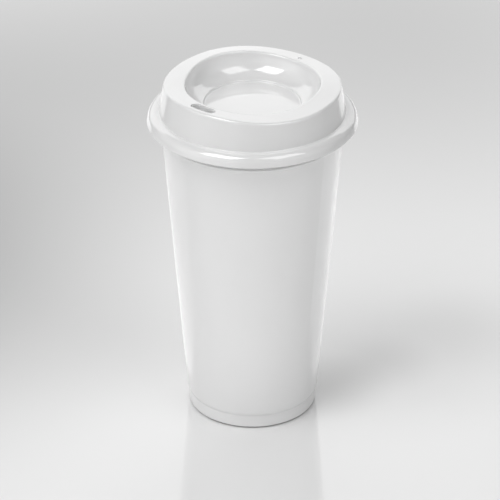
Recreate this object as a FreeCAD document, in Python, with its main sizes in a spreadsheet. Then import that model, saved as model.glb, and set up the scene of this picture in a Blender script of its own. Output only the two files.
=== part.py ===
import FreeCAD, Part
import math
import os
import re
import Sketcher

# A moulded plastic drinking cup with a press-on domed lid.
# The cup stands on the XY plane with its axis on +Z; the drinking slot of the lid is towards -Y and
# the vent hole towards +Y. All sizes are millimetres.

DOC = FreeCAD.newDocument("plastic_cup")
SHEET = DOC.addObject("Spreadsheet::Sheet", "Sizes")

# alias, value, what it is
DRIVING = [
    ("cup_height", 153.4, "foot to the top of the cup's rim"),
    ("cup_wall", 1.3, "wall of the cup, measured level"),
    ("foot_radius", 30.5, "outside of the foot ring"),
    ("foot_height", 6.2, "height of the upright foot ring"),
    ("foot_land", 1.6, "width of the ring the cup stands on"),
    ("foot_recess", 2.2, "how far the underside is raised inside the foot ring"),
    ("floor_wall", 1.8, "thickness of the cup's floor"),
    ("floor_corner", 2.4, "radius between the floor and the wall inside"),
    ("step_rise", 1.6, "height of the slope from the foot ring out to the wall"),
    ("step_out", 0.9, "how far that slope goes out"),
    ("mouth_radius", 43.06, "outside of the wall, carried on to the rim's height"),
    ("collar_drop", 9.3, "rim down to the underside of the collar bead"),
    ("collar_width", 1.9, "height of the collar bead"),
    ("collar_out", 0.95, "how far the collar bead stands out of the wall"),
    ("collar_bevel", 0.2, "slope of the bead's upper and lower face, as a height"),
    ("collar_round", 0.45, "radius of the bead's two edges"),
    ("rim_out", 3.43, "how far the turned-down rim stands out past the mouth"),
    ("rim_lip", 3.0, "height of the turned-down rim"),
    ("rim_round", 2.0, "radius of the rim's outer edge"),
    ("edge_round", 0.5, "radius of the cup's other rim and foot edges"),
    ("step_round", 2.4, "radius where the foot's slope meets the wall"),
    ("rim_gap", 0.3, "clearance between the rim and the lid"),
    ("lid_wall", 1.3, "wall of the lid"),
    ("skirt_depth", 5.4, "top of the lid's shoulder to the skirt's lower edge"),
    ("skirt_lean", 15.0, "outward lean of the skirt and of the rim inside it, in degrees"),
    ("shoulder_round", 4.55, "radius of the shoulder's outer edge"),
    ("lip_round", 0.45, "radius of the skirt's lower edge outside"),
    ("shoulder_slope", 0.15, "rise of the shoulder from the skirt to the dome wall"),
    ("shoulder_width", 4.32, "outside of the skirt, at the shoulder, to the foot of the dome wall"),
    ("foot_blend", 0.4, "radius between the shoulder and the dome wall"),
    ("dome_draft", 10.0, "lean of the dome wall, in degrees"),
    ("crown_inset", 2.6, "foot of the dome wall to the circle where the crown heights are taken"),
    ("crown_rise", 13.2, "shoulder to the crown's outer edge, on average"),
    ("crown_tilt", 0.86, "outer edge: one swing per turn, high at the slot"),
    ("crown_saddle", 0.42, "outer edge: two swings per turn"),
    ("crown_lobes", 0.72, "outer edge: three swings per turn"),
    ("crown_width", 9.4, "that circle to the bowl's mouth"),
    ("bowl_lift", 0.9, "how much higher the bowl's mouth is than the outer edge, on average"),
    ("bowl_tilt", -0.41, "bowl's mouth: one swing per turn"),
    ("bowl_saddle", -0.32, "bowl's mouth: two swings per turn"),
    ("bowl_lobes", 0.70, "bowl's mouth: three swings per turn"),
    ("crown_round", 1.3, "radius of the crown's outer edge"),
    ("mouth_round", 1.0, "radius of the bowl's mouth edge"),
    ("crease_inset", 8.7, "bowl's mouth to the crease round its floor"),
    ("crease_rise", 4.0, "shoulder to that crease"),
    ("crease_round", 0.4, "radius of the crease"),
    ("bowl_lean", 15.0, "slope of the bowl just outside the crease, in degrees"),
    ("bowl_draft", 9.2, "lean of the bowl's wall at its mouth, in degrees"),
    ("bowl_corner", 11.4, "radius that turns the bowl's slope into its wall"),
    ("shell_corner", 10.3, "the same on the outside of the bowl"),
    ("disc_inset", 0.4, "crease to the edge of the bowl's domed floor"),
    ("disc_rise", 5.0, "shoulder to the top of that floor"),
    ("disc_sphere", 120.0, "radius of the sphere that the floor is part of"),
    ("disc_round", 0.6, "radius of the groove round that floor"),
    ("slot_inset", 5.3, "circle of the crown heights to the middle of the drinking slot"),
    ("slot_length", 12.8, "drinking slot, end to end"),
    ("slot_width", 5.2, "drinking slot, across"),
    ("slot_round", 0.3, "radius of the slot's upper edge"),
    ("vent_inset", 5.3, "circle of the crown heights to the vent hole"),
    ("vent_bore", 2.0, "diameter of the vent hole"),
    ("spare", 8.0, "how far the cutting bodies reach past what they cut"),
]

# alias, formula, what it is
DERIVED = [
    ("floor_top", "foot_recess + floor_wall", "height of the cup's floor inside"),
    ("wall_start", "foot_height + step_rise", "height where the sloping wall begins"),
    ("wall_foot", "foot_radius + step_out", "outside of the wall where it begins"),
    ("wall_slope", "(mouth_radius - wall_foot) / (cup_height - wall_start)", "growth of the wall's radius"),
    ("collar_low", "cup_height - collar_drop", "underside of the collar bead"),
    ("collar_top", "collar_low + collar_width", "top of the collar bead"),
    ("lean_out", "tan(skirt_lean * 1deg)", "growth of the skirt's and the rim's radius going down"),
    ("lean_wide", "1 / cos(skirt_lean * 1deg)", "level measure of a wall that leans so"),
    ("rim_radius", "mouth_radius + rim_out", "outside of the turned-down rim, at its top"),
    ("rim_low", "cup_height - rim_lip", "lower edge of the turned-down rim"),
    ("lip_radius", "rim_radius + lean_out * rim_lip", "outside of the rim's lower edge"),
    ("rim_under", "cup_height - cup_wall", "underside of the rim's flat top"),
    ("channel_radius", "rim_radius + (lean_out - lean_wide) * cup_wall", "inside of the turned-down rim"),
    ("channel_round", "max(rim_round - cup_wall; 0.1)", "radius under the rim's outer edge"),
    ("lid_seat", "cup_height + rim_gap", "underside of the lid over the rim"),
    ("shoulder", "lid_seat + lid_wall", "top of the lid's shoulder at the skirt"),
    ("skirt_inside", "rim_radius + (lean_wide - lean_out) * rim_gap", "inside of the skirt, at the seat"),
    ("skirt_radius", "skirt_inside + (lean_wide - lean_out) * lid_wall", "outside of the skirt"),
    ("skirt_low", "shoulder - skirt_depth", "lower edge of the skirt"),
    ("dome_radius", "skirt_radius - shoulder_width", "outside of the dome wall at its foot"),
    ("dome_start", "shoulder + shoulder_slope", "foot of the dome wall"),
    ("dome_lean", "tan(dome_draft * 1deg)", "loss of the dome's radius with height"),
    ("dome_inside", "dome_radius - lid_wall / cos(dome_draft * 1deg)", "inside of the dome at its foot"),
    ("crown_radius", "dome_radius - crown_inset", "circle where the crown heights are taken"),
    ("bowl_radius", "crown_radius - crown_width", "radius of the bowl's mouth"),
    ("bowl_rise", "crown_rise + bowl_lift", "shoulder to the bowl's mouth"),
    ("crease_radius", "bowl_radius - crease_inset", "radius of the crease"),
    ("disc_radius", "crease_radius - disc_inset", "radius of the bowl's floor"),
    ("slot_place", "crown_radius - slot_inset", "axis to the middle of the slot"),
    ("vent_place", "crown_radius - vent_inset", "axis to the vent hole"),
    ("blank_top", "shoulder + crown_rise + spare", "height above every part of the crown"),
    ("crease_height", "shoulder + crease_rise", "height of the crease"),
    ("disc_top", "shoulder + disc_rise", "top of the bowl's domed floor"),
    ("bowl_mouth", "shoulder + bowl_rise", "height of the bowl's mouth"),
    ("wall_lean", "tan(bowl_draft * 1deg)", "growth of the bowl's radius with height"),
    ("floor_lean", "tan(bowl_lean * 1deg)", "climb of the bowl's slope with radius"),
    # where the bowl's slope and its wall would meet as straight lines
    ("corner_height", "(crease_height + floor_lean * (bowl_radius - wall_lean * bowl_mouth - crease_radius))"
                      " / (1 - floor_lean * wall_lean)", "height of the bowl's corner"),
    ("corner_radius", "bowl_radius - wall_lean * (bowl_mouth - corner_height)", "radius of the bowl's corner"),
    ("corner_turn", "90 - bowl_draft - bowl_lean", "turn of the bowl's corner, in degrees"),
    ("corner_leg", "(corner_radius - crease_radius) / cos(bowl_lean * 1deg)", "crease to corner"),
    ("corner_room", "corner_leg / tan(corner_turn * 0.5deg)", "greatest radius that fits the corner"),
    ("corner_round", "min(bowl_corner; 0.98 * corner_room)", "radius used there"),
    ("shell_round", "min(shell_corner; 0.92 * corner_room)", "radius used outside"),
    # the same corner on the outside of the bowl's wall
    ("corner_shift", "lid_wall / cos(corner_turn * 0.5deg)", "inside corner to outside corner"),
    ("shift_angle", "(90 - bowl_draft + bowl_lean) / 2", "direction of that shift from straight down"),
    ("outer_corner_radius", "corner_radius + corner_shift * sin(shift_angle * 1deg)", "outside corner"),
    ("outer_corner_height", "corner_height - corner_shift * cos(shift_angle * 1deg)", "outside corner"),
    ("slot_end", "slot_width / 2", "radius of the slot's round ends"),
    ("slot_half", "slot_length / 2 - slot_end", "slot's middle to the centre of a round end"),
]


def with_sheet(formula):
    """The formula with every alias written as a cell of the sheet."""
    words = {name for name, _, _ in DRIVING + DERIVED}
    return re.sub(r"[a-z_]+", lambda m: "Sizes." + m.group(0) if m.group(0) in words else m.group(0), formula)


def fill_sheet():
    """Write the driving sizes as numbers and the derived ones as formulas."""
    for row, (name, value, note) in enumerate(DRIVING, start=1):
        SHEET.set(f"A{row}", note)
        SHEET.set(f"B{row}", str(value))
        SHEET.setAlias(f"B{row}", name)
    for row, (name, formula, note) in enumerate(DERIVED, start=len(DRIVING) + 1):
        SHEET.set(f"A{row}", note)
        SHEET.set(f"B{row}", "=" + formula)
        SHEET.setAlias(f"B{row}", name)
    DOC.recompute()


def size(name):
    """One value of the sheet."""
    return float(SHEET.get(name))


def value(formula):
    """The present value of a formula of the sheet's names."""
    return float(SHEET.evalExpression(with_sheet(formula)))


def origin_plane(body, role):
    """The body's own origin plane."""
    return next(f for f in body.Origin.OriginFeatures if f.Role == role)


def new_sketch(body, name, role):
    """An empty sketch on one of the body's origin planes."""
    sketch = body.newObject("Sketcher::SketchObject", name)
    sketch.AttachmentSupport = (origin_plane(body, role), [""])
    sketch.MapMode = "FlatFace"
    return sketch


def fix_point(sketch, geometry, end, level, height):
    """Tie one end of a line to the axes or to its distances from them."""
    for formula, kind, axis in ((level, "DistanceX", -2), (height, "DistanceY", -1)):
        if formula is None:
            continue
        if formula == "0":
            sketch.addConstraint(Sketcher.Constraint("PointOnObject", geometry, end, axis))
            continue
        index = sketch.addConstraint(Sketcher.Constraint(kind, -1, 1, geometry, end, value(formula)))
        sketch.setExpression(f"Constraints[{index}]", with_sheet(formula))


def section(body, name, corners, sphere=None):
    """A closed half section in the XZ plane. With a sphere's radius, its first side is an arc of it."""
    sketch = new_sketch(body, name, "XZ_Plane")
    spots = [FreeCAD.Vector(value(level), value(height), 0) for level, height in corners]
    for index, spot in enumerate(spots):
        after = spots[(index + 1) % len(spots)]
        if index == 0 and sphere:
            reach = value(sphere)
            centre = FreeCAD.Vector(0, spot.y - reach, 0)
            circle = Part.Circle(centre, FreeCAD.Vector(0, 0, 1), reach)
            first = math.acos(after.x / reach)
            sketch.addGeometry(Part.ArcOfCircle(circle, first, math.pi / 2))
        else:
            sketch.addGeometry(Part.LineSegment(spot, after))
    last = len(spots) - 1
    for index in range(len(spots)):
        after = (index + 1) % len(spots)
        # an arc runs against the outline, so that its ends change places
        out_end = 1 if index == 0 and sphere else 2
        in_end = 2 if after == 0 and sphere else 1
        sketch.addConstraint(Sketcher.Constraint("Coincident", index, out_end, after, in_end))
    for index, (level, height) in enumerate(corners):
        if index == 1 and sphere:
            height = None
        fix_point(sketch, index, 2 if index == 0 and sphere else 1, level, height)
    if sphere:
        sketch.addConstraint(Sketcher.Constraint("PointOnObject", 0, 3, -2))
        index = sketch.addConstraint(Sketcher.Constraint("Radius", 0, value(sphere)))
        sketch.setExpression(f"Constraints[{index}]", with_sheet(sphere))
    return sketch


def turned(name, corners, sphere=None):
    """A body made by turning a half section about the Z axis."""
    body = DOC.addObject("PartDesign::Body", name)
    sketch = section(body, name + "_section", corners, sphere)
    turn = body.newObject("PartDesign::Revolution", name + "_turn")
    turn.Profile = sketch
    turn.ReferenceAxis = (sketch, ["V_Axis"])
    turn.Angle = 360
    DOC.recompute()
    return body


def ring_edges(shape, spots):
    """Names of the circular edges about the Z axis that pass through these corners."""
    names = []
    for level, height in spots:
        radius = value(level)
        lift = value(height)
        for index, edge in enumerate(shape.Edges, start=1):
            if edge.Degenerated or not isinstance(edge.Curve, Part.Circle):
                continue
            curve = edge.Curve
            if abs(curve.Radius - radius) < 1e-4 and abs(curve.Center.z - lift) < 1e-4:
                names.append(f"Edge{index}")
                break
        else:
            raise ValueError(f"no ring edge at {level}, {height}")
    return names


def round_rings(body, name, radius, spots):
    """Round the body's ring edges at these corners."""
    base = body.Tip
    fillet = body.newObject("PartDesign::Fillet", name)
    fillet.Base = (base, ring_edges(base.Shape, spots))
    fillet.setExpression("Radius", with_sheet(radius))
    body.Tip = fillet
    DOC.recompute()


def wall_at(height):
    """Formula of the cup's outside radius at a height."""
    return f"wall_foot + wall_slope * ({height} - wall_start)"


def build_cup():
    """The cup: foot ring, recessed floor, sloping wall, collar bead and turned-down rim."""
    foot_out = ("foot_radius", "0")
    foot_in = ("foot_radius - foot_land", "0")
    recess = ("foot_radius - foot_land", "foot_recess")
    foot_top = ("foot_radius", "foot_height")
    wall_low = ("wall_foot", "wall_start")
    collar_under = (wall_at("collar_low"), "collar_low")
    bead_low = (wall_at("collar_low") + " + collar_out", "collar_low + collar_bevel")
    bead_top = (wall_at("collar_top") + " + collar_out", "collar_top - collar_bevel")
    collar_over = (wall_at("collar_top"), "collar_top")
    channel_in = (wall_at("rim_under"), "rim_under")
    channel_out = ("channel_radius", "rim_under")
    lip_in = ("lip_radius - lean_wide * cup_wall", "rim_low")
    lip_out = ("lip_radius", "rim_low")
    rim_out = ("rim_radius", "cup_height")
    rim_in = (wall_at("cup_height") + " - cup_wall", "cup_height")
    inside_low = ("wall_foot - cup_wall", "wall_start + step_out / 2")
    inside_step = ("foot_radius - cup_wall", "foot_height + step_out / 2")
    inside_floor = ("foot_radius - cup_wall", "floor_top")
    cup = turned("cup", [("0", "foot_recess"), recess, foot_in, foot_out, foot_top, wall_low,
                         collar_under, bead_low, bead_top, collar_over, channel_in, channel_out,
                         lip_in, lip_out, rim_out, rim_in, inside_low, inside_step, inside_floor,
                         ("0", "floor_top")])
    round_rings(cup, "inside_corner", "min(floor_corner; foot_height - floor_top)", [inside_floor])
    round_rings(cup, "wall_blend", "step_round", [wall_low, inside_low])
    round_rings(cup, "rim_edges", "min(edge_round; 0.45 * cup_wall)",
                [rim_in, lip_out, lip_in, channel_in])
    round_rings(cup, "rim_turn", "rim_round", [rim_out])
    round_rings(cup, "channel_turn", "channel_round", [channel_out])
    round_rings(cup, "foot_edges", "min(edge_round; 0.45 * foot_land)", [foot_out, foot_in, recess, foot_top])
    round_rings(cup, "bead_edges", "min(collar_round; 0.4 * collar_width)", [bead_low, bead_top])
    cup.Label = "cup"
    return cup


def crown_height(part, turn):
    """Height of the crown's outer edge or of the bowl's mouth, at a turn from the drinking slot."""
    swing = size(part + "_tilt") * math.cos(turn)
    swing += size(part + "_saddle") * math.cos(2 * turn)
    swing += size(part + "_lobes") * math.cos(3 * turn)
    return size("shoulder") + size(part + "_rise") + swing


def crown_line(radius, drop):
    """A closed curve of the crown's surface at one radius, lowered by a drop."""
    steps = 72
    share = (radius - size("bowl_radius")) / (size("crown_radius") - size("bowl_radius"))
    points = []
    for step in range(steps):
        turn = math.pi / 2 + 2 * math.pi * step / steps
        bowl = crown_height("bowl", turn)
        crown = crown_height("crown", turn)
        height = bowl + share * (crown - bowl) - drop
        points.append(FreeCAD.Vector(radius * math.sin(turn), -radius * math.cos(turn), height))
    curve = Part.BSplineCurve()
    curve.interpolate(Points=points, PeriodicFlag=True)
    return curve.toShape()


def above_crown(name, drop):
    """All that lies above the crown's waving surface, as a ring wider than the crown."""
    inner = crown_line(size("bowl_radius") - size("spare"), drop)
    outer = crown_line(size("crown_radius") + size("spare"), drop)
    surface = Part.makeRuledSurface(inner, outer)
    cutter = DOC.addObject("Part::Feature", name)
    cutter.Shape = surface.extrude(FreeCAD.Vector(0, 0, size("blank_top")))
    return cutter


def cut(name, base, tool):
    """The base without the tool."""
    result = DOC.addObject("Part::Cut", name)
    result.Base = base
    result.Tool = tool
    DOC.recompute()
    return result


def rounded(name, base, radius, chosen):
    """Round the edges that the test chooses."""
    fillet = DOC.addObject("Part::Fillet", name)
    fillet.Base = base
    edges = enumerate(base.Shape.Edges, start=1)
    picks = [index for index, edge in edges if not edge.Degenerated and chosen(edge)]
    fillet.Edges = [(index, radius, radius) for index in picks]
    DOC.recompute()
    return fillet


def reach(edge):
    """Least and greatest distance of an edge from the Z axis, and its least height."""
    points = edge.discretize(24)
    radii = [math.hypot(p.x, p.y) for p in points]
    return min(radii), max(radii), min(p.z for p in points)


def bowl_at(height):
    """Formula of the radius of the bowl's wall at a height."""
    return f"corner_radius + wall_lean * ({height} - corner_height)"


def build_bowl_tool():
    """The room of the bowl: domed floor, crease, rounded slope and wall."""
    crease = ("crease_radius", "crease_height")
    corner = ("corner_radius", "corner_height")
    foot = ("disc_radius", "disc_top - disc_sphere + sqrt(disc_sphere ^ 2 - disc_radius ^ 2)")
    bowl = turned("bowl_room", [("0", "disc_top"), foot, crease, corner,
                                (bowl_at("blank_top"), "blank_top"), ("0", "blank_top")], "disc_sphere")
    round_rings(bowl, "bowl_turn", "corner_round", [corner])
    round_rings(bowl, "crease_edge", "crease_round", [crease])
    round_rings(bowl, "disc_edge", "disc_round", [foot])
    return bowl


def build_bowl_shell():
    """The bowl with its wall round it, filled."""
    sphere = "disc_sphere - lid_wall"
    level = "disc_radius + lid_wall"
    foot = (level, f"disc_top - disc_sphere + sqrt(({sphere}) ^ 2 - ({level}) ^ 2)")
    crease = ("crease_radius + lid_wall",
              "outer_corner_height - floor_lean * (outer_corner_radius - crease_radius - lid_wall)")
    corner = ("outer_corner_radius", "outer_corner_height")
    rise = "outer_corner_radius + wall_lean * (blank_top - outer_corner_height)"
    shell = turned("bowl_shell", [("0", "disc_top - lid_wall"), foot, crease, corner,
                                  (rise, "blank_top"), ("0", "blank_top")], sphere)
    round_rings(shell, "shell_turn", "shell_round", [corner])
    return shell


def build_lid_blank():
    """The lid's outside as a filled solid: skirt, shoulder and dome wall."""
    lip_out = ("skirt_radius + lean_out * skirt_depth", "skirt_low")
    edge = ("skirt_radius", "shoulder")
    foot = ("dome_radius", "dome_start")
    top = ("dome_radius - dome_lean * (blank_top - dome_start)", "blank_top")
    blank = turned("lid_blank", [("0", "skirt_low"), lip_out, edge, foot, top, ("0", "blank_top")])
    round_rings(blank, "shoulder_edge", "shoulder_round", [edge])
    round_rings(blank, "lip_edge", "min(lip_round; 0.4 * lid_wall)", [lip_out])
    round_rings(blank, "dome_foot", "foot_blend", [foot])
    return blank


def build_lid_room():
    """The room under the lid, before the bowl and the crown bound it."""
    below = "skirt_low - spare"
    lip = (f"skirt_inside + lean_out * (lid_seat - ({below}))", below)
    seat = ("skirt_inside", "lid_seat")
    foot = ("dome_inside", "lid_seat + shoulder_slope")
    top = ("dome_inside - dome_lean * (blank_top - lid_seat - shoulder_slope)", "blank_top")
    room = turned("lid_room", [("0", below), lip, seat, foot, top, ("0", "blank_top")])
    round_rings(room, "seat_turn", "rim_round + rim_gap", [seat])
    return room


def build_slot_tool():
    """A round-ended slot, as tall as the whole lid."""
    body = DOC.addObject("PartDesign::Body", "slot_tool")
    sketch = new_sketch(body, "slot_section", "XY_Plane")
    half = size("slot_half")
    end = size("slot_end")
    place = -size("slot_place")
    for side in (1, -1):
        circle = Part.Circle(FreeCAD.Vector(side * half, place, 0), FreeCAD.Vector(0, 0, 1), end)
        middle = 0 if side > 0 else math.pi
        sketch.addGeometry(Part.ArcOfCircle(circle, middle - math.pi / 2, middle + math.pi / 2))
        start = FreeCAD.Vector(side * half, place + side * end, 0)
        finish = FreeCAD.Vector(-side * half, place + side * end, 0)
        sketch.addGeometry(Part.LineSegment(start, finish))
    for index in range(4):
        sketch.addConstraint(Sketcher.Constraint("Tangent", index, 2, (index + 1) % 4, 1))
    sketch.addConstraint(Sketcher.Constraint("Horizontal", 1))
    sketch.addConstraint(Sketcher.Constraint("Symmetric", 0, 3, 2, 3, -2))
    sizes = (
        ("slot_end", Sketcher.Constraint("Radius", 0, end)),
        ("slot_half", Sketcher.Constraint("DistanceX", -1, 1, 0, 3, half)),
        ("slot_place", Sketcher.Constraint("DistanceY", 0, 3, -1, 1, -place)),
    )
    for name, constraint in sizes:
        index = sketch.addConstraint(constraint)
        sketch.setExpression(f"Constraints[{index}]", with_sheet(name))
    pad = body.newObject("PartDesign::Pad", "slot_pad")
    pad.Profile = sketch
    pad.setExpression("Length", with_sheet("blank_top"))
    DOC.recompute()
    return body


def build_vent_tool():
    """A plain bore through the crown, opposite the drinking slot."""
    bore = DOC.addObject("Part::Cylinder", "vent_tool")
    bore.setExpression("Radius", with_sheet("vent_bore / 2"))
    bore.setExpression("Height", with_sheet("blank_top"))
    bore.setExpression("Placement.Base.y", with_sheet("vent_place"))
    DOC.recompute()
    return bore


def build_lid():
    """The lid: skirt over the rim, dome wall, waving crown, bowl with a domed floor, slot and vent."""
    # every edge of the crown lies above this height, and everything else below it
    crown_low = size("shoulder") + 0.6 * size("crown_rise")
    near = size("mouth_round")

    def crown_edge(edge):
        least, most, low = reach(edge)
        return low > crown_low and least > size("bowl_radius") + near and most < size("dome_radius")

    def mouth_edge(edge):
        least, most, low = reach(edge)
        return low > crown_low and least > size("bowl_radius") - near and most < size("bowl_radius") + near

    def slot_edge(edge):
        least, most, low = reach(edge)
        beside = edge.BoundBox.XLength < size("slot_length") + near and edge.BoundBox.YMax < 0
        level = edge.BoundBox.ZLength < size("lid_wall") / 2
        top = low > crown_height("crown", 0) - size("lid_wall") / 2
        middle = least > size("slot_place") - size("slot_width") and most < size("crown_radius") - near
        return beside and level and top and middle

    crowned = cut("crowned_blank", build_lid_blank(), above_crown("above_crown", 0))
    soft = rounded("crown_soft", crowned, size("crown_round"), crown_edge)
    bowled = cut("bowled", soft, build_bowl_tool())
    mouth = rounded("mouth_soft", bowled, size("mouth_round"), mouth_edge)
    under_crown = cut("room_under_crown", build_lid_room(), above_crown("above_ceiling", size("lid_wall")))
    room = cut("room_round_bowl", under_crown, build_bowl_shell())
    hollow = cut("hollow_lid", mouth, room)
    vented = cut("vented_lid", hollow, build_vent_tool())
    slotted = cut("slotted_lid", vented, build_slot_tool())
    lid = rounded("lid", slotted, size("slot_round"), slot_edge)
    lid.Label = "lid"
    return lid


def check_document():
    """Stop if any object failed."""
    for item in DOC.Objects:
        if "Invalid" in item.State or "Error" in item.State:
            raise RuntimeError(f"{item.Name} failed: {item.State}")


def write_part(item):
    """Check one sub-part and write it under its label."""
    shape = item.Shape
    if shape.isNull() or not shape.isValid() or len(shape.Solids) != 1:
        raise RuntimeError(f"{item.Label} has no single valid solid")
    shape.exportStep(os.path.join("parts", item.Label + ".step"))
    box = shape.BoundBox
    print(f"{item.Label}: {shape.Volume / 1000:.2f} cm3, z {box.ZMin:.2f} to {box.ZMax:.2f}, "
          f"{box.XLength:.2f} x {box.YLength:.2f}")


fill_sheet()
PARTS = [build_cup(), build_lid()]
DOC.recompute()
check_document()
os.makedirs("parts", exist_ok=True)
for PART in PARTS:
    write_part(PART)
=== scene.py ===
import math

import bpy
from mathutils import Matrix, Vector


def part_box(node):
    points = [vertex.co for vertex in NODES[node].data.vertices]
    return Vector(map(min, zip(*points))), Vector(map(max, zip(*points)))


# A white moulded drinking cup with a glossy press-on lid, on a pale studio floor.
# Everything is in metres, in the row's own frame: +Z up, the drinking slot towards -Y.

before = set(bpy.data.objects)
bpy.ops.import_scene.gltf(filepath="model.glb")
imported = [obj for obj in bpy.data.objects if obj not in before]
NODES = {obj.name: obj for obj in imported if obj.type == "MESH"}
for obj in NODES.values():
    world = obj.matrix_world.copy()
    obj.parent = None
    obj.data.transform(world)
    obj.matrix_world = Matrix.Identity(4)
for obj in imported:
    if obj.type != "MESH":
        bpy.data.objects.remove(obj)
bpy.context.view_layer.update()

# the camera: degrees round from -Y and above level, metres away, and its lens in millimetres
VIEW_AZIMUTH = 39.0
VIEW_ELEVATION = 29.44
VIEW_DISTANCE = 1.5
LENS = 227.6
SENSOR = 36.0
AIM_HEIGHT = 0.0802
AIM_RIGHT = -0.00115

FOOT_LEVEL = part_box("cup")[0].z
LID_LOW, LID_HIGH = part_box("lid")

# the floor lies a hair under the foot, and the cards a little above the floor
FLOOR_SIZE = 12.0
FLOOR_LEVEL = FOOT_LEVEL - 0.0006
CARD_LEVEL = FOOT_LEVEL + 0.001

# the lamp inside the cup, just under the lid
GLOW_LEVEL = LID_LOW.z - 0.012
GLOW_SIZE = 0.04

# noise is between these two values nearly everywhere
NOISE_LOW = 0.3
NOISE_HIGH = 0.7

# the plastics: features per metre, shares of the colour and of the roughness, and metres
MOTTLE_SCALE = 45
GLOSS_SCALE = 90
GRAIN_SCALE = 2600
RIPPLE_SCALE = 60
MOTTLING = 0.01
GLOSS_SWING = 0.1
BLOOM_ROUGHNESS = 0.3
GLOW_REACH = 0.003


def direction(azimuth, elevation):
    """Unit vector towards a place given by its angles round from -Y and above level, in degrees."""
    turn = math.radians(azimuth)
    rise = math.radians(elevation)
    return Vector((math.sin(turn) * math.cos(rise), -math.cos(turn) * math.cos(rise), math.sin(rise)))


def sideways(distance):
    """A step to the camera's right, level with the floor."""
    turn = math.radians(VIEW_AZIMUTH)
    return Vector((math.cos(turn), math.sin(turn), 0)) * distance


def look_at(obj, target):
    """Turn a camera or a lamp to face a point."""
    obj.rotation_euler = (target - obj.location).to_track_quat("-Z", "Y").to_euler()


# ---------------------------------------------------------------- materials

def new_material(name):
    """A node material and its Principled shader."""
    material = bpy.data.materials.new(name)
    material.use_nodes = True
    return material, material.node_tree.nodes["Principled BSDF"]


def noise(tree, scale, detail=3.0):
    """Noise in object space. The scale is in features per metre."""
    place = tree.nodes.new("ShaderNodeTexCoord")
    texture = tree.nodes.new("ShaderNodeTexNoise")
    texture.inputs["Scale"].default_value = scale
    texture.inputs["Detail"].default_value = detail
    tree.links.new(place.outputs["Object"], texture.inputs["Vector"])
    return texture.outputs["Fac"]


def spread(tree, source, low, high):
    """The source's middle range, spread from low to high."""
    span = tree.nodes.new("ShaderNodeMapRange")
    span.inputs["From Min"].default_value = NOISE_LOW
    span.inputs["From Max"].default_value = NOISE_HIGH
    span.inputs["To Min"].default_value = low
    span.inputs["To Max"].default_value = high
    tree.links.new(source, span.inputs["Value"])
    return span.outputs["Result"]


def tinted(tree, source, dark, light):
    """A colour between two near tints."""
    ramp = tree.nodes.new("ShaderNodeValToRGB")
    ramp.color_ramp.elements[0].position = NOISE_LOW
    ramp.color_ramp.elements[0].color = (*dark, 1)
    ramp.color_ramp.elements[1].position = NOISE_HIGH
    ramp.color_ramp.elements[1].color = (*light, 1)
    tree.links.new(source, ramp.inputs["Fac"])
    return ramp.outputs["Color"]


def bump(tree, height, distance):
    """Raise the surface by a noise, up to a distance in metres."""
    node = tree.nodes.new("ShaderNodeBump")
    node.inputs["Strength"].default_value = 1.0
    node.inputs["Distance"].default_value = distance
    tree.links.new(height, node.inputs["Height"])
    return node


def moulded_plastic(name, colour, roughness, ior, grain, ripple, bloom, glow_through):
    """White moulded plastic: a hair of mottling, uneven gloss, fine grain and slow ripple in its skin.

    The grain and the ripple are in metres. The bloom is the sheen of a satin skin, and glow_through
    is how much light passes through the thin wall.
    """
    material, shader = new_material(name)
    tree = material.node_tree
    dark = [c * (1 - MOTTLING) for c in colour]
    tree.links.new(tinted(tree, noise(tree, MOTTLE_SCALE), dark, colour), shader.inputs["Base Color"])
    smooth = roughness * (1 - GLOSS_SWING)
    rough = roughness * (1 + GLOSS_SWING)
    tree.links.new(spread(tree, noise(tree, GLOSS_SCALE, 4), smooth, rough), shader.inputs["Roughness"])
    shader.inputs["IOR"].default_value = ior
    shader.inputs["Sheen Weight"].default_value = bloom
    shader.inputs["Sheen Roughness"].default_value = BLOOM_ROUGHNESS
    shader.inputs["Subsurface Weight"].default_value = glow_through
    shader.inputs["Subsurface Radius"].default_value = (1, 1, 1)
    shader.inputs["Subsurface Scale"].default_value = GLOW_REACH
    fine = bump(tree, noise(tree, GRAIN_SCALE, 2), grain)
    slow = bump(tree, noise(tree, RIPPLE_SCALE, 1), ripple)
    tree.links.new(fine.outputs["Normal"], slow.inputs["Normal"])
    tree.links.new(slow.outputs["Normal"], shader.inputs["Normal"])
    return material


def paint(node, material):
    """Give every slot of a CAD node one material."""
    for slot in NODES[node].material_slots:
        slot.material = material


paint("cup", moulded_plastic(
    "cup_plastic", colour=(0.79, 0.79, 0.79), roughness=0.24, ior=1.5,
    grain=1.0e-7, ripple=2.0e-7, bloom=0.2, glow_through=0.1,
))
paint("lid", moulded_plastic(
    "lid_plastic", colour=(0.73, 0.73, 0.73), roughness=0.03, ior=1.9,
    grain=0.0, ripple=2.0e-7, bloom=0.0, glow_through=0.12,
))


# ---------------------------------------------------------------- floor

def constant(tree, amount):
    """A fixed number to start a chain of nodes with."""
    level = tree.nodes.new("ShaderNodeValue").outputs["Value"]
    level.default_value = amount
    return level


def combined(tree, operation, first, second):
    """Two outputs put together by one step of arithmetic."""
    node = tree.nodes.new("ShaderNodeMath")
    node.operation = operation
    tree.links.new(first, node.inputs[0])
    tree.links.new(second, node.inputs[1])
    return node.outputs["Value"]


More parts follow.
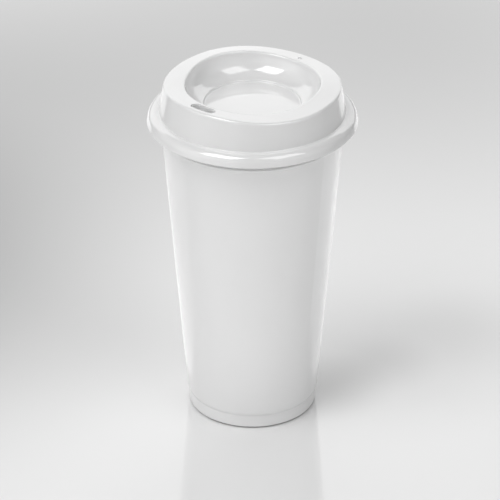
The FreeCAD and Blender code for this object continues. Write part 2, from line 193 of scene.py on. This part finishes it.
def painted_shade_grey(tree, patches, top, bottom):
    """A grey with painted shade, falling away from its top value in soft round patches (right, back,
    reach, depth).
    """
    place = tree.nodes.new("ShaderNodeTexCoord")
    level = constant(tree, top)
    for right, back, reach, depth in patches:
        away = tree.nodes.new("ShaderNodeVectorMath")
        away.operation = "DISTANCE"
        away.inputs[1].default_value = sideways(right) - direction(VIEW_AZIMUTH, 0) * back
        fade = tree.nodes.new("ShaderNodeMapRange")
        fade.interpolation_type = "SMOOTHSTEP"
        fade.inputs["From Max"].default_value = reach
        fade.inputs["To Min"].default_value = depth
        fade.inputs["To Max"].default_value = 0.0
        tree.links.new(place.outputs["Object"], away.inputs[0])
        tree.links.new(away.outputs["Value"], fade.inputs["Value"])
        level = combined(tree, "SUBTRACT", level, fade.outputs["Result"])
    return combined(tree, "MAXIMUM", level, constant(tree, bottom))


def make_floor():
    """A wide pale glossy floor, with painted shade behind the object and to its left, and a painted
    shadow close by its foot.
    """
    bpy.ops.mesh.primitive_plane_add(size=FLOOR_SIZE, location=(0, 0, FLOOR_LEVEL))
    floor = bpy.context.object
    floor.name = "studio_floor"
    material, shader = new_material("studio_floor")
    tree = material.node_tree
    patches = [
        # painted shade behind to the left, near and far
        (-0.257, 0.090, 0.264, 0.45),
        (-0.268, 0.273, 0.334, 0.40),
        # painted shade straight behind
        (0.067, 0.417, 0.338, 0.28),
        # painted shadow that deepens the lamps' own cast shadow of the object, going in towards the foot
        (0.107, 0.061, 0.053, 0.085),
        (0.063, 0.031, 0.034, 0.12),
        (0.036, 0.009, 0.036, 0.22),
    ]
    # the floor's colour carries the painted shade and the painted shadow
    tree.links.new(painted_shade_grey(tree, patches, 0.77, 0.3), shader.inputs["Base Color"])
    tree.links.new(spread(tree, noise(tree, 30), 0.07, 0.09), shader.inputs["Roughness"])
    shader.inputs["IOR"].default_value = 1.9
    floor.data.materials.append(material)


make_floor()


# ---------------------------------------------------------------- light

def panel(name, azimuth, elevation, distance, width, height, radiance):
    """A soft lamp at angles from the camera's side, facing the lid, of a given radiance."""
    lamp = bpy.data.lights.new(name, "AREA")
    lamp.shape = "RECTANGLE"
    lamp.size = width
    lamp.size_y = height
    lamp.energy = radiance * math.pi * width * height
    obj = bpy.data.objects.new(name, lamp)
    bpy.context.collection.objects.link(obj)
    target = Vector((0, 0, LID_HIGH.z))
    obj.location = target + direction(VIEW_AZIMUTH + azimuth, elevation) * distance
    look_at(obj, target)


def floor_card(name, azimuth, near, far, aside, width, radiance):
    """A bright card lying face up, out of the camera's sight, that shows only in the plastic's gloss."""
    lamp = bpy.data.lights.new(name, "AREA")
    lamp.shape = "RECTANGLE"
    lamp.size = far - near
    lamp.size_y = width
    lamp.energy = radiance * math.pi * lamp.size * lamp.size_y
    obj = bpy.data.objects.new(name, lamp)
    bpy.context.collection.objects.link(obj)
    along = direction(VIEW_AZIMUTH + azimuth, 0)
    across = direction(VIEW_AZIMUTH + azimuth + 90, 0)
    obj.location = along * (near + far) / 2 + across * aside + Vector((0, 0, CARD_LEVEL))
    obj.rotation_euler = (math.pi, 0, math.atan2(along.y, along.x))
    obj.visible_camera = False


def inside_glow(power):
    """A small lamp in the cup facing up, for the light that comes through the thin white lid."""
    lamp = bpy.data.lights.new("inside_glow", "AREA")
    lamp.shape = "DISK"
    lamp.size = GLOW_SIZE
    lamp.energy = power
    obj = bpy.data.objects.new("inside_glow", lamp)
    bpy.context.collection.objects.link(obj)
    obj.location = (0, 0, GLOW_LEVEL)
    obj.rotation_euler = (math.pi, 0, 0)
    obj.visible_camera = False


# azimuth, elevation, distance, width, height, radiance
panel("softbox_left", -50, 60, 1.2, 0.64, 0.64, 4.2)
panel("softbox_right", 50, 60, 1.2, 0.64, 0.64, 2.2)
panel("back_panel", 180, 23.5, 2.2, 4.4, 1.85, 1.29)
# azimuth, near, far, aside, width, radiance
floor_card("front_card", 0, 0.06, 0.40, 0, 0.50, 0.35)
for side, turn, side_level in (("left", -1, 0.65), ("right", 1, 0.53)):
    floor_card(side + "_card_side", 95 * turn, 0.045, 0.38, 0.10 * turn, 0.20, side_level)
    floor_card(side + "_card_near", 133 * turn, 0.10, 0.30, 0.05 * turn, 0.10, 0.5)
    floor_card(side + "_card_far", 133 * turn, 0.30, 2.00, 0.14 * turn, 0.28, 0.6)
inside_glow(0.02)


def glow(tree, azimuth, elevation, reach, strength):
    """A soft patch of light in the world, full in one direction and fading to nothing at its reach."""
    place = tree.nodes.new("ShaderNodeTexCoord")
    along = tree.nodes.new("ShaderNodeVectorMath")
    along.operation = "DOT_PRODUCT"
    along.inputs[1].default_value = direction(VIEW_AZIMUTH + azimuth, elevation)
    fade = tree.nodes.new("ShaderNodeMapRange")
    fade.interpolation_type = "SMOOTHSTEP"
    fade.inputs["From Min"].default_value = math.cos(math.radians(reach))
    fade.inputs["To Max"].default_value = strength
    tree.links.new(place.outputs["Generated"], along.inputs[0])
    tree.links.new(along.outputs["Value"], fade.inputs["Value"])
    return fade.outputs["Result"]


def make_world():
    """The dim studio round the object, brighter towards its left."""
    world = bpy.data.worlds.new("studio")
    world.use_nodes = True
    tree = world.node_tree
    patches = [
        glow(tree, -45, 15, 55, 0.86),
        glow(tree, 45, 15, 55, 0.67),
        glow(tree, -90, 20, 50, 0.56),
        glow(tree, 0, 90, 45, 0.2),
    ]
    total = constant(tree, 0.1)
    for patch in patches:
        total = combined(tree, "ADD", total, patch)
    tree.nodes["Background"].inputs["Color"].default_value = (1, 1, 1, 1)
    tree.links.new(total, tree.nodes["Background"].inputs["Strength"])
    bpy.context.scene.world = world


make_world()


# ---------------------------------------------------------------- camera

def make_camera():
    """The camera, round to the right of the drinking slot and looking down on the lid."""
    aim = sideways(AIM_RIGHT) + Vector((0, 0, AIM_HEIGHT))
    lens = bpy.data.cameras.new("camera")
    lens.lens = LENS
    lens.sensor_width = SENSOR
    lens.clip_end = 50.0
    camera = bpy.data.objects.new("camera", lens)
    bpy.context.collection.objects.link(camera)
    camera.location = aim + direction(VIEW_AZIMUTH, VIEW_ELEVATION) * VIEW_DISTANCE
    look_at(camera, aim)
    bpy.context.scene.camera = camera


make_camera()
bpy.context.scene.view_settings.view_transform = "Standard"
